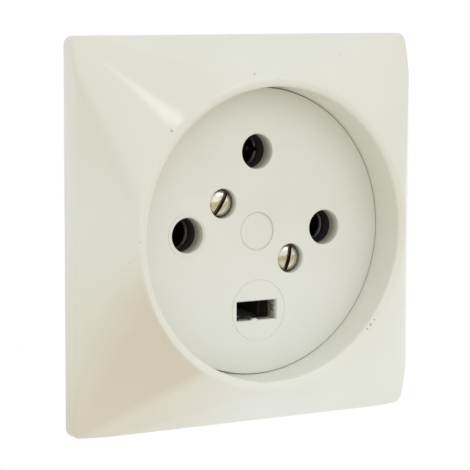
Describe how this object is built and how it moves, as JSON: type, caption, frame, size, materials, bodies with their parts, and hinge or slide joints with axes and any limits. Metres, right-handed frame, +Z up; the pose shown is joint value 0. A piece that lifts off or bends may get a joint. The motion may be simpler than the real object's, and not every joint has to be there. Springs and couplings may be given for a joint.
{
  "type": "flush three-phase socket",
  "caption": "Square pillowed wall plate with a deep round plug well, round pin holes and a flat earth slot, over a moulded base with sleeve contacts on a steel yoke.",
  "frame": {"origin": "centre of the yoke's two box screws, on the wall plane", "axes": "+Z up, +X to the right when facing the socket, +Y into the wall, so that the face looks along -Y"},
  "size_m": [0.08, 0.0405, 0.08],
  "materials": {
    "cover_plastic": "glossy ivory moulding",
    "disc_plastic": "satin ivory moulding",
    "base_phenolic": "black phenolic moulding",
    "rear_phenolic": "brown phenolic sheet",
    "brass": "dull turned brass",
    "bronze_spring": "darkened spring bronze",
    "spring_steel": "plain spring steel",
    "steel_screw": "zinc plated",
    "nickel_screw": "nickel plated, lightly worn",
    "zinc_steel": "zinc plated sheet",
    "tinned_strap": "tinned strip"
  },
  "bodies": {
    "root": {"cover_frame": "cover_plastic", "centre_disc": "disc_plastic", "cover_screws": "nickel_screw", "screw_inserts": "brass", "base_body": "base_phenolic", "rear_plate": "rear_phenolic", "rear_plate_screw": "steel_screw", "mounting_yoke": "zinc_steel", "yoke_screws": "steel_screw", "contact_right": "brass", "contact_top": "brass", "contact_left": "brass", "spring_ring_right": "spring_steel", "spring_ring_top": "spring_steel", "spring_ring_left": "spring_steel", "terminal_screw_right": "steel_screw", "terminal_screw_top": "steel_screw", "terminal_screw_left": "steel_screw", "earth_clip": "bronze_spring", "earth_block": "brass", "earth_rivet": "brass", "earth_terminal_screw": "steel_screw", "earth_strap": "tinned_strap", "earth_strap_rivet": "brass"}
  },
  "joints": []
}
